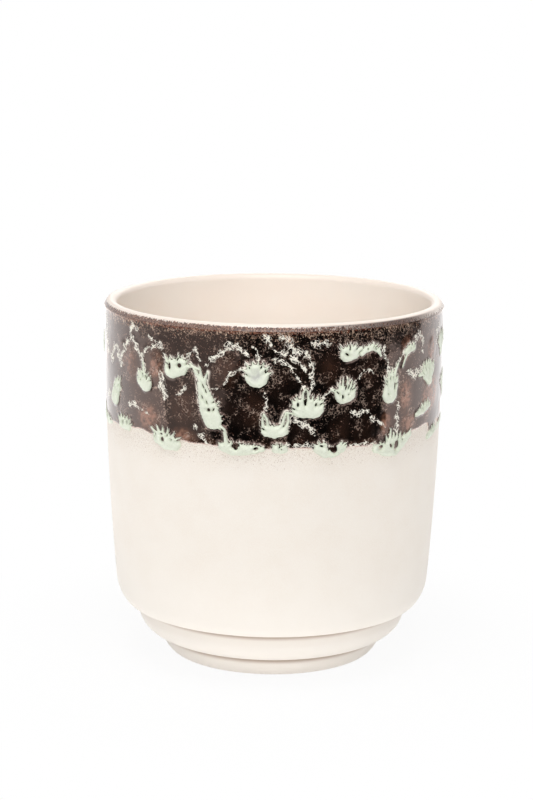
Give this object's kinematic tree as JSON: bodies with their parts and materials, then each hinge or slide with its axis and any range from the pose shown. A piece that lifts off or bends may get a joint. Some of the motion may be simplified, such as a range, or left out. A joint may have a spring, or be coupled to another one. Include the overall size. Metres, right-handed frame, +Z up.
{
  "type": "cachepot",
  "caption": "Round ceramic cachepot with stepped foot, cream matt glaze and a dark gloss band with raised pale glaze drops; holds a potted plant.",
  "frame": {"origin": "centre of the foot ring, on the surface that the pot stands on", "axes": "+Z up the pot's centre line, -Y towards the front that the picture shows"},
  "size_m": [0.1624, 0.1629, 0.171],
  "materials": {
    "bare_clay": "unglazed fired clay, dry matt",
    "cream_satin_glaze": "cream satin liner glaze",
    "cream_matt_glaze": "cream matt glaze with fine grain and sprayed brown specks",
    "dark_gloss_glaze": "near-black brown gloss glaze with pale veins",
    "pale_drop_glaze": "raised pale mint glaze, semi-gloss"
  },
  "bodies": {
    "root": {"band_glaze": "dark_gloss_glaze", "clay_body": "bare_clay", "cream_glaze": "cream_matt_glaze", "hem_drop_01": "pale_drop_glaze", "hem_drop_02": "pale_drop_glaze", "hem_drop_03": "pale_drop_glaze", "hem_drop_04": "pale_drop_glaze", "hem_drop_05": "pale_drop_glaze", "hem_drop_06": "pale_drop_glaze", "hem_drop_07": "pale_drop_glaze", "hem_drop_08": "pale_drop_glaze", "hem_drop_09": "pale_drop_glaze", "hem_drop_10": "pale_drop_glaze", "hem_drop_11": "pale_drop_glaze", "hem_drop_12": "pale_drop_glaze", "hem_drop_13": "pale_drop_glaze", "hem_drop_14": "pale_drop_glaze", "hem_drop_15": "pale_drop_glaze", "hem_drop_16": "pale_drop_glaze", "hem_drop_17": "pale_drop_glaze", "liner_glaze": "cream_satin_glaze", "wall_drop_01": "pale_drop_glaze", "wall_drop_02": "pale_drop_glaze", "wall_drop_03": "pale_drop_glaze", "wall_drop_04": "pale_drop_glaze", "wall_drop_05": "pale_drop_glaze", "wall_drop_06": "pale_drop_glaze", "wall_drop_07": "pale_drop_glaze", "wall_drop_08": "pale_drop_glaze", "wall_drop_09": "pale_drop_glaze", "wall_drop_10": "pale_drop_glaze", "wall_drop_11": "pale_drop_glaze", "wall_drop_12": "pale_drop_glaze", "wall_drop_13": "pale_drop_glaze", "wall_drop_14": "pale_drop_glaze", "wall_drop_15": "pale_drop_glaze", "wall_drop_16": "pale_drop_glaze", "wall_drop_17": "pale_drop_glaze", "wall_drop_18": "pale_drop_glaze", "wall_drop_19": "pale_drop_glaze", "wall_drop_20": "pale_drop_glaze", "wall_drop_21": "pale_drop_glaze", "wall_drop_22": "pale_drop_glaze", "wall_drop_23": "pale_drop_glaze", "wall_drop_24": "pale_drop_glaze", "wall_drop_25": "pale_drop_glaze", "wall_drop_26": "pale_drop_glaze", "wall_drop_27": "pale_drop_glaze", "wall_drop_28": "pale_drop_glaze", "wall_drop_29": "pale_drop_glaze", "wall_drop_30": "pale_drop_glaze", "wall_drop_31": "pale_drop_glaze", "wall_drop_32": "pale_drop_glaze", "wall_drop_33": "pale_drop_glaze"}
  },
  "joints": []
}
